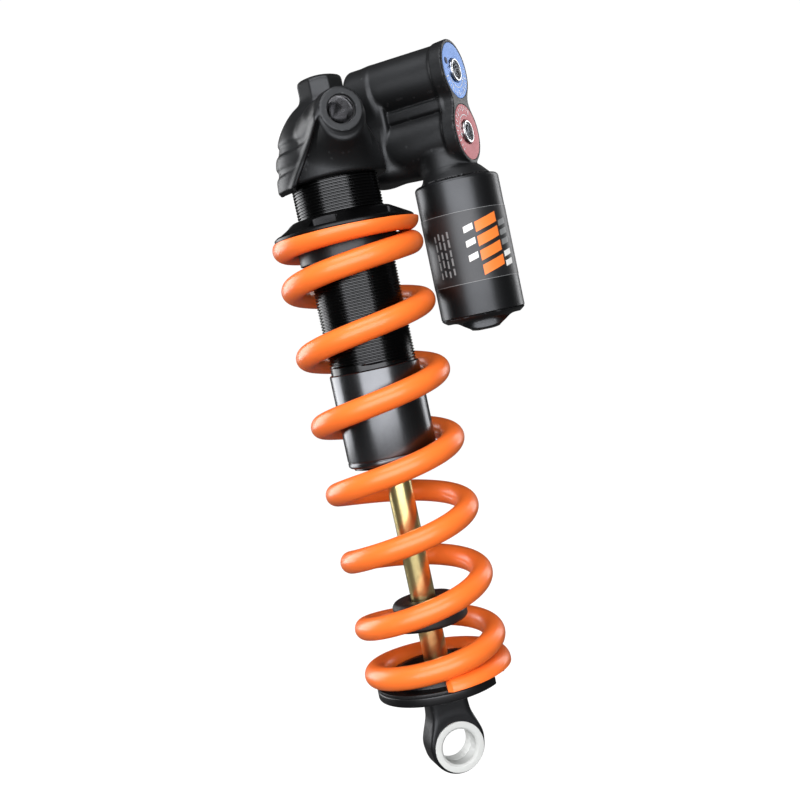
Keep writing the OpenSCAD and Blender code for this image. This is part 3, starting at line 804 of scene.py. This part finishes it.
def spring():
    """Coil spring with ground ends. Its active coils stretch between the perches."""
    sides, per_turn = 36, 96
    rings = int(SPRING_TURNS * per_turn)
    turns = np.linspace(0, SPRING_TURNS, rings + 1)
    centre = wire_height(turns)
    points = []
    for turn, z in zip(turns, centre):
        a = SPRING_START + TAU * turn
        from_end = min(turn, SPRING_TURNS - turn) * TAU * SPRING_R
        thin = math.sqrt(max(0.0, 1 - max(0.0, 1 - from_end / 1.1) ** 2)) * 0.32 + 0.68
        for k in range(sides):
            b = TAU * k / sides
            r = SPRING_R + SPRING_WIRE_R * thin * math.cos(b)
            h = np.clip(z + SPRING_WIRE_R * thin * math.sin(b), SPRING_LOW, SPRING_TOP)
            points.append((r * math.cos(a), r * math.sin(a), h))
    faces = [tuple(range(sides)), tuple(reversed(range(rings * sides, (rings + 1) * sides)))]
    for i in range(rings):
        for k in range(sides):
            m = (k + 1) % sides
            faces.append((i * sides + k, (i + 1) * sides + k, (i + 1) * sides + m, i * sides + m))
    piece = new_object("orange_coil", points, faces, MATERIALS["orange_spring"], 40)
    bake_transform(piece)
    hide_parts("coil_spring")


# ---------------------------------------------------------------- collar and perch


def preload_collar():
    """Threaded collar: a thin rim and a cone cut by spanner notches."""
    low = SPRING_TOP + 0.05
    r = COLLAR_R
    profile = [(BODY_R + 0.08, low), (r - 0.3, low), (r, low + 0.3), (r, low + 1.1), (r - 0.6, low + 1.6),
               (17.6, COLLAR_TOP), (BODY_R + 0.6, COLLAR_TOP), (BODY_R + 0.08, COLLAR_TOP - 0.5)]
    piece = lathe("collar_ring", profile, MATERIALS["black_collar"], radius=0.15, sides=192)
    cutters = []
    notches = 6
    for k in range(notches):
        turn = Matrix.Rotation(TAU * k / notches - math.radians(3), 4, "Z")
        outline = [(18.9, -4.6), (27, -5.6), (27, 5.6), (18.9, 4.6)]
        cutters.append(prism("cutter", outline, low + 1.9, low + 12, radius=1.0, matrix=turn))
    cut(piece, cutters)
    bevel(piece, 0.18, 32)
    fit(piece, "preload_collar", "black_collar", "preload_collar")


def perch_slot():
    """Cutter for the slot that lets both perch plates slip over the shaft."""
    half = 6.5
    outline = [polar(half, t) for t in np.linspace(math.pi / 2, 3 * math.pi / 2, 33)]
    outline += [(40, -half), (40, half)]
    return prism("cutter", outline, PERCH_LOW - 5, SPRING_LOW + 12,
                 matrix=Matrix.Rotation(math.radians(-35), 4, "Z"))


def spring_perch():
    """Two stacked plates: the spring retainer with its hub, and the base under it."""
    seat = SPRING_LOW - 0.05
    split = PERCH_SPLIT
    hub = node_box("spring_retainer")[1][2]
    profile = [(2.0, split + 0.02), (PERCH_R, split + 0.02), (PERCH_R, seat), (17.8, seat), (17.8, hub - 0.5),
               (17.3, hub), (15.4, hub), (15.0, seat), (2.0, seat)]
    retainer = lathe("retainer_plate", profile, MATERIALS["perch_black"], radius=0.15, sides=192)
    profile = [(2.0, PERCH_LOW), (PERCH_R, PERCH_LOW), (PERCH_R, split - 0.02), (2.0, split - 0.02)]
    base = lathe("perch_base", profile, MATERIALS["perch_black"], radius=0.6, sides=192)
    for piece, node in ((retainer, "spring_retainer"), (base, "retainer_base")):
        cut(piece, [perch_slot()])
        bevel(piece, 0.15, 32)
        fit(piece, "lower_perch", "perch_black", node)


def bump_stop():
    """Elastomer bumper in its cup."""
    low, high = node_box("bumper_cup")
    z, top, r, bore = low[2], high[2], 14.6, SHAFT_R + 0.4
    profile = [(bore, z), (r - 0.9, z), (r, z + 0.9), (r, top - 0.3), (r - 0.4, top), (11.8, top),
               (11.8, z + 1.2),
               (bore, z + 1.2)]
    cup = lathe("stop_cup", profile, MATERIALS["cup_black"], radius=0.3, sides=128)
    fit(cup, "bump_stop", "cup_black", "bumper_cup")
    low, high = node_box("bumper")
    z, top, r = low[2], high[2], 11.7
    profile = [(SHAFT_R + 0.2, z), (r, z), (r, top - 4.2), (r - 0.7, top - 3.6), (r - 0.7, top - 3.2),
               (r, top - 2.6), (r - 0.1, top - 1.2), (r - 1.2, top), (SHAFT_R + 1.2, top),
               (SHAFT_R + 0.2, top - 0.8)]
    rubber = lathe("stop_rubber", profile, MATERIALS["bumper_black"], radius=0.6, sides=128)
    fit(rubber, "bump_stop", "bumper_black", "bumper")


# ---------------------------------------------------------------- lower eyelet


def eyelet_shape(p):
    """Forged eye with a waisted neck."""
    half = 5.53
    eye = rod(p, (0, -half, 0), (0, half, 0), 10.1, 1.6)
    width = 7.7 + 0.05 * np.abs(p[2] - 15) ** 1.2
    neck = rounded_corner(np.abs(p[0]) - width, np.abs(p[1]) - half, 3.0)
    neck = smooth_max(neck, p[2] - PERCH_LOW + 0.05, 0.3)
    neck = smooth_max(neck, 3 - p[2], 3.0)
    side = np.sqrt((np.abs(p[0]) - 11.3) ** 2 + ((p[2] - 15.2) * 0.42) ** 2) - 3.9
    neck = smooth_max(neck, -side, 0.8)
    boss = rod(p, (0, 0, PERCH_LOW - 3), (0, 0, PERCH_LOW + 2.0), 6.2, 0.4)
    joined = smooth_min(eye, neck, 4.5)
    joined = smooth_max(joined, np.abs(p[1]) - half, 0.5)
    return smooth_min(joined, boss, 0.5)


def eyelet():
    """Lower eyelet with its bushing seat and shaft bore."""
    low, high = node_box("lower_eyelet")
    piece = solid_from("eyelet_forging", eyelet_shape, low - 1.5, high + 1.5, 0.3, MATERIALS["eyelet_black"])
    cross = Matrix.Rotation(math.pi / 2, 4, "X")
    cut(piece, [prism("cutter", circle_points(7.5), -12, 12, matrix=cross),
                prism("cutter", circle_points(SHAFT_R + 0.01), 9.3, 40)], 38)
    fit(piece, "shaft", "eyelet_black", "lower_eyelet")


def eye_bushings():
    """Two flanged polymer bushings in the eye."""
    half, flange, r = 6.35, 0.8, 9.15
    for side, name, node in ((-1, "flange_bushing_front", "bushing_front"),
                             (1, "flange_bushing_rear", "bushing_rear")):
        profile = [(EYE_BORE_R, 0.03), (7.48, 0.03), (7.48, half - flange), (r, half - flange), (r, half),
                   (EYE_BORE_R + 0.75, half), (EYE_BORE_R, half - 0.75)]
        piece = lathe(name, profile, MATERIALS["bushing_white"], radius=0.18, sides=128)
        piece.data.transform(Matrix.Rotation(side * -math.pi / 2, 4, "X"))
        fit(piece, "shaft", "bushing_white", node)


# ---------------------------------------------------------------- reservoir


def reservoir():
    """Reservoir can with a rounded shoulder."""
    low, high, r = CAN_LOW[2], CAN_HIGH[2], CAN_R
    bore = r - 1.6
    profile = [(bore, low), (r - 0.3, low), (r, low + 0.3), (r, high - 1.5)]
    profile += [polar(1.4, t, (r - 1.4, high - 1.45)) for t in np.linspace(0.2, 1.5, 7)]
    profile += [(bore, high - 0.05)]
    piece = lathe("can_shell", profile, MATERIALS["reservoir_black"], centre=(CAN_X, 0, 0), radius=0.08,
                  sides=192)
    fit(piece, "damper", "reservoir_black", "reservoir_can")


def end_cap_shape(p):
    """Domed cap with deep pockets between its grip ribs."""
    x, y = p[0] - CAN_X, p[1]
    radial = np.sqrt(x * x + y * y)
    rim = CAN_LOW[2]
    dome = np.sqrt(x * x + y * y + (p[2] - rim - 17.4) ** 2) - 23.4
    body = smooth_max(dome, radial - CAN_R, 0.5)
    body = smooth_max(body, p[2] - rim + 0.03, 0.05)
    for k in range(4):
        a = math.radians(-111 + 90 * k)
        along = x * math.cos(a) + y * math.sin(a)
        across = -x * math.sin(a) + y * math.cos(a)
        inner = 5.4 - along
        outer = radial - CAN_R + 1.3
        wedge = (np.abs(across) - along) * 0.707 + 0.5
        pocket = smooth_max(smooth_max(inner, outer, 2.0), wedge, 2.0)
        pocket = smooth_max(pocket, p[2] - rim + 1.2 + 0.12 * (radial - 9), 2.0)
        body = smooth_max(body, -pocket, 0.5)
    return body


def end_cap():
    """Lower cap of the reservoir."""
    low = (CAN_X - CAN_R - 1, -CAN_R - 1, CAN_LOW[2] - 7.5)
    high = (CAN_X + CAN_R + 1, CAN_R + 1, CAN_LOW[2] + 1)
    piece = solid_from("end_cap_dome", end_cap_shape, low, high, 0.28, MATERIALS["reservoir_black"])
    hole = prism("cutter", circle_points(3.05), -10, CAN_LOW[2] - 1.5)
    hole.data.transform(Matrix.Translation((CAN_X * MM, 0, 0)))
    cut(piece, [hole], 38)
    fit(piece, "damper", "reservoir_black", "reservoir_end_cap")


def wrapped_patch(name, corners, thickness, material, radius):
    """Thin film on the can: a quadrilateral of (arc length, height) corners wrapped round the axis."""
    corners = np.array(corners, float)
    length = np.linalg.norm(corners[1] - corners[0]) + np.linalg.norm(corners[2] - corners[3])
    nu, nv = max(2, int(length / 1.0)), 3
    points, faces = [], []
    for layer in (0, 1):
        r = radius + layer * thickness
        for i in range(nu + 1):
            for j in range(nv + 1):
                u, v = i / nu, j / nv
                s, z = ((1 - u) * (1 - v) * corners[0] + u * (1 - v) * corners[1] + u * v * corners[2]
                        + (1 - u) * v * corners[3])
                a = s / radius
                points.append((CAN_X + r * math.cos(a), r * math.sin(a), z))
    size = (nu + 1) * (nv + 1)

    def at(layer, i, j):
        return layer * size + i * (nv + 1) + j

    for i in range(nu):
        for j in range(nv):
            faces.append((at(1, i, j), at(1, i + 1, j), at(1, i + 1, j + 1), at(1, i, j + 1)))
            faces.append((at(0, i, j + 1), at(0, i + 1, j + 1), at(0, i + 1, j), at(0, i, j)))
    rim = [(i, 0) for i in range(nu)] + [(nu, j) for j in range(nv)]
    rim += [(i, nv) for i in range(nu, 0, -1)] + [(0, j) for j in range(nv, 0, -1)]
    for a, b in zip(rim, rim[1:] + rim[:1]):
        faces.append((at(0, *a), at(0, *b), at(1, *b), at(1, *a)))
    piece = new_object(name, points, faces, material)
    clean(piece)
    return piece


def band(inner, outer, low, high):
    """Outline of a flat ring."""
    return [(inner, low), (outer, low), (outer, high), (inner, high)]


def slanted_bar(left, right, low, high, lean):
    """Corners of a bar whose ends lean."""
    return [(left, low), (right, low + lean), (right, high + lean), (left, high)]


def decal():
    """Film round the can with an abstract mark of slanted bars. It holds no lettering."""
    low, high = node_box("reservoir_decal")
    outer = CAN_R + 0.09
    profile = band(CAN_R + 0.01, outer, low[2], high[2])
    film = lathe("decal_sleeve", profile, MATERIALS["decal_film"], centre=(CAN_X, 0, 0), radius=0, sides=192)
    fit(film, "damper", "decal_film", "reservoir_decal")

    def arc(degrees):
        return math.radians(degrees) * outer

    base = low[2] + 1.6

    def bars(left, right, rows, foot, pitch, tall, lean):
        low_edges = [base + foot + pitch * k for k in rows]
        return [slanted_bar(arc(left), arc(right), edge, edge + tall, lean) for edge in low_edges]

    orange = bars(-99, -66, range(4), 0, 5.1, 3.6, 2.6)
    white = bars(-115, -102, range(1, 4), 0.4, 5.1, 2.2, 1.0) + bars(-63, -48, range(2), 1.6, 3.4, 2.0, 0.9)
    grey = bars(-63, -48, range(3), 9.2, 3.4, 2.0, 0.9)
    for column in range(4):
        left = -160 + 7 * column
        for k in range(5):
            foot = base + 1.5 + 3.3 * k + 0.6 * (column % 2)
            grey.append(slanted_bar(arc(left), arc(left + 2.6), foot, foot + 2.3 + 0.4 * (k % 2), 0.0))
    for name, rows, material in (("mark_orange", orange, MARK_ORANGE), ("mark_white", white, MARK_WHITE),
                                 ("mark_grey", grey, MARK_GREY)):
        piece = join([wrapped_patch(name, row, 0.03, material, outer + 0.005) for row in rows])
        fit(piece, "damper", "decal_film")
    for name, level in (("film_edge_low", low[2]), ("film_edge_high", high[2] - 0.16)):
        edge = lathe(name, band(outer + 0.005, outer + 0.03, level, level + 0.16), MARK_GREY,
                     centre=(CAN_X, 0, 0), radius=0, sides=192)
        fit(edge, "damper", "decal_film")


# ---------------------------------------------------------------- dials


INK = 0.04


def cap_marks(centre, name, turn):
    """Printed ticks and a sweep line on a valve cap."""
    rows = []
    for k in range(15):
        a = math.radians(turn + 12 * k)
        inner, outer = (7.3, 9.2) if k % 3 == 0 else (8.0, 9.2)
        c, s = math.cos(a), math.sin(a)
        half = 0.16 if k % 3 else 0.24
        corners = ((inner, half), (outer, half), (outer, -half), (inner, -half))
        outline = [(r * c + h * s, r * s - h * c) for r, h in corners]
        rows.append(prism(name, outline, 0.0, INK, MARK_PALE))
    steps = np.linspace(math.radians(turn + 8), math.radians(turn + 128), 40)
    outline = [polar(6.3, t) for t in steps] + [polar(6.0, t) for t in steps[::-1]]
    rows.append(prism(name, outline, 0.0, INK, MARK_PALE))
    tip = math.radians(turn + 134)
    arrow = [polar(5.4, tip - 0.1), polar(6.9, tip - 0.1), polar(6.15, tip + 0.12)]
    rows.append(prism(name, arrow, 0.0, INK, MARK_PALE))
    piece = join(rows)
    piece.data.transform(tower_matrix(centre))
    return piece


def dial(centre, word, slot, dot_material, dot_place, mark_turn):
    """Coloured valve cap with its indicator dot and printed ticks."""
    place_matrix = tower_matrix(centre)
    profile = [(4.25, -1.5), (CAP_R, -1.5), (CAP_R, -0.1), (CAP_R - 0.25, 0.0), (4.55, 0.0), (4.25, -0.3)]
    cap = lathe(word + "_cap_face", profile, MATERIALS[slot], radius=0.08, sides=160)
    hole = prism("cutter", circle_points(1.27, 40, dot_place), -0.5, 1)
    cut(cap, [hole])
    cap.data.transform(place_matrix)
    fit(cap, "damper", slot, word + "_valve_cap")
    dot = lathe(word + "_indicator", [(0.01, -0.6), (1.25, -0.6), (1.25, 0.05), (1.0, 0.15), (0.01, 0.2)],
                dot_material, centre=(dot_place[0], dot_place[1], 0), radius=0.05, sides=48)
    dot.data.transform(place_matrix)
    fit(dot, "damper", slot)
    marks = cap_marks(centre, word + "_cap_marks", mark_turn)
    fit(marks, "damper", slot)


def adjuster_tops(centre, word, node, screw_node, body, screw_body):
    """High-speed hexagon ring and the low-speed screw inside it."""
    place_matrix = tower_matrix(centre)
    profile = [(1.0, -4.0), (4.15, -4.0), (4.15, 0.5), (3.85, 0.8), (1.0, 0.8)]
    ring = lathe(word + "_high_speed_ring", profile, MATERIALS["adjuster_silver"], radius=0.1, sides=96)
    mouth = lathe("cutter", [(0, 0.3), (3.0, 0.3), (3.6, 0.9), (0, 0.9)], None, radius=0, sides=96)
    cut(ring, [prism("cutter", circle_points(3.3, 6), -2.6, 4), mouth,
               prism("cutter", circle_points(2.1, 64), -9, 0)])
    ring.data.transform(place_matrix)
    fit(ring, body, "adjuster_silver", node)
    screw = lathe(word + "_low_speed_screw",
                  [(0.05, -14.8), (2.05, -14.8), (2.05, -3.9), (1.75, -3.6), (0.05, -3.6)],
                  MATERIALS["adjuster_dark"], radius=0.1, sides=64)
    cut(screw, [prism("cutter", circle_points(1.5, 6), -6, -3)])
    screw.data.transform(place_matrix)
    fit(screw, screw_body, "adjuster_dark", screw_node)


# ---------------------------------------------------------------- stage


def direction_to(azimuth, elevation):
    """Unit vector towards an azimuth and elevation in radians, with azimuth 0 in front."""
    flat = math.cos(elevation)
    return Vector((math.sin(azimuth) * flat, -math.cos(azimuth) * flat, math.sin(elevation)))


def area_light(name, direction, distance, size, power, target):
    """Softbox that faces the target from a direction of (azimuth, elevation) in degrees."""
    back = direction_to(math.radians(direction[0]), math.radians(direction[1]))
    data = bpy.data.lights.new(name, "AREA")
    data.shape = "RECTANGLE"
    data.size, data.size_y = size
    data.energy = power
    light = bpy.data.objects.new(name, data)
    light.location = target + back * distance
    light.rotation_mode = "QUATERNION"
    light.rotation_quaternion = back.to_track_quat("Z", "Y")
    bpy.context.scene.collection.objects.link(light)


def camera():
    """Camera at the angle of the picture: a little from the left, and rolled."""
    azimuth, elevation, roll = math.radians(-16.62), math.radians(3.62), math.radians(-12.04)
    distance = 423.14
    target = Vector((6.89, 0, 125.5))
    back = direction_to(azimuth, elevation)
    right = (-back).cross(Vector((0, 0, 1))).normalized()
    down = (-back).cross(right).normalized()
    side = math.cos(roll) * right - math.sin(roll) * down
    lower = math.sin(roll) * right + math.cos(roll) * down
    data = bpy.data.cameras.new("camera")
    data.lens, data.sensor_width = 53.32, 36
    data.clip_start, data.clip_end = 0.01, 20
    view = bpy.data.objects.new("camera", data)
    turn = Matrix((side, -lower, back)).transposed().to_4x4()
    view.matrix_world = Matrix.Translation((target + back * distance) * MM) @ turn
    bpy.context.scene.collection.objects.link(view)
    bpy.context.scene.camera = view


def camera_only(nodes, links, strength, other):
    """Brightness that the camera sees, with another one for every other ray."""
    path = nodes.new("ShaderNodeLightPath")
    value = nodes.new("ShaderNodeMapRange")
    put(value, {"To Min": other, "To Max": strength})
    links.new(path.outputs["Is Camera Ray"], value.inputs["Value"])
    return value.outputs["Result"]


def stage():
    """Pale floor that curves up behind the part, soft boxes and a pale world."""
    floor_z = CAD_BOX[0][2] - 0.003
    radius, reach, wall = 0.5, 2.5, 2.5
    profile = [(-2.5, 0.0), (reach - radius, 0.0)]
    profile += [(reach - radius + radius * math.sin(t), radius - radius * math.cos(t))
                for t in np.linspace(0.1, math.pi / 2, 12)]
    profile += [(reach, wall)]
    width = 4.0
    points = [(x / MM, y / MM, (floor_z + z) / MM) for y, z in profile for x in (-width, width)]
    faces = [(2 * k, 2 * k + 1, 2 * k + 3, 2 * k + 2) for k in range(len(profile) - 1)]
    pale, nodes, links, surface = shader("pale_floor")
    where = nodes.new("ShaderNodeTexCoord").outputs["Object"]
    drift = noise(nodes, links, where, 3, 2)
    links.new(mix_colour(nodes, links, drift, (0.10, 0.10, 0.10), (0.12, 0.12, 0.12)),
              surface.inputs["Base Color"])
    put(surface, {"Roughness": 0.9, "Specular IOR Level": 0.0, "Emission Color": (1, 1, 1, 1)})
    links.new(camera_only(nodes, links, 1.0, 0.0), surface.inputs["Emission Strength"])
    new_object("floor", points, faces, pale)
    world = bpy.data.worlds.new("studio")
    bpy.context.scene.world = world
    world.use_nodes = True
    nodes, links = world.node_tree.nodes, world.node_tree.links
    nodes["Background"].inputs["Color"].default_value = (1, 1, 1, 1)
    links.new(camera_only(nodes, links, 1.0, 0.10), nodes["Background"].inputs["Strength"])
    target = Vector((0.007, 0, 0.125))
    softboxes = (("softbox_front", (-19, 8), 0.9, (1.35, 0.8), 19.0),
                 ("softbox_top", (-30, 66), 0.8, (0.6, 0.5), 5.0),
                 ("rim_left", (-138, 8), 0.9, (0.6, 0.8), 8.0),
                 ("rim_right", (112, 8), 0.9, (0.3, 0.8), 3.0))
    for row in softboxes:
        area_light(*row, target)
    bpy.context.scene.view_settings.view_transform = "Standard"


build_head()
trunnion_threads()
threaded_body()
sleeve()
spring()
preload_collar()
spring_perch()
bump_stop()
eyelet()
eye_bushings()
reservoir()
end_cap()
decal()
dial(UPPER, "compression", "cap_blue", DOT_BLUE, (-6.4, 2.9), 200)
dial(LOWER, "rebound", "cap_red", DOT_RED, (-4.3, -1.9), 60)
adjuster_tops(UPPER, "compression", "hsc_adjuster", "lsc_adjuster", "high_speed_compression",
              "low_speed_compression")
adjuster_tops(LOWER, "rebound", "hsr_adjuster", "lsr_adjuster", "high_speed_rebound", "low_speed_rebound")
camera()
stage()
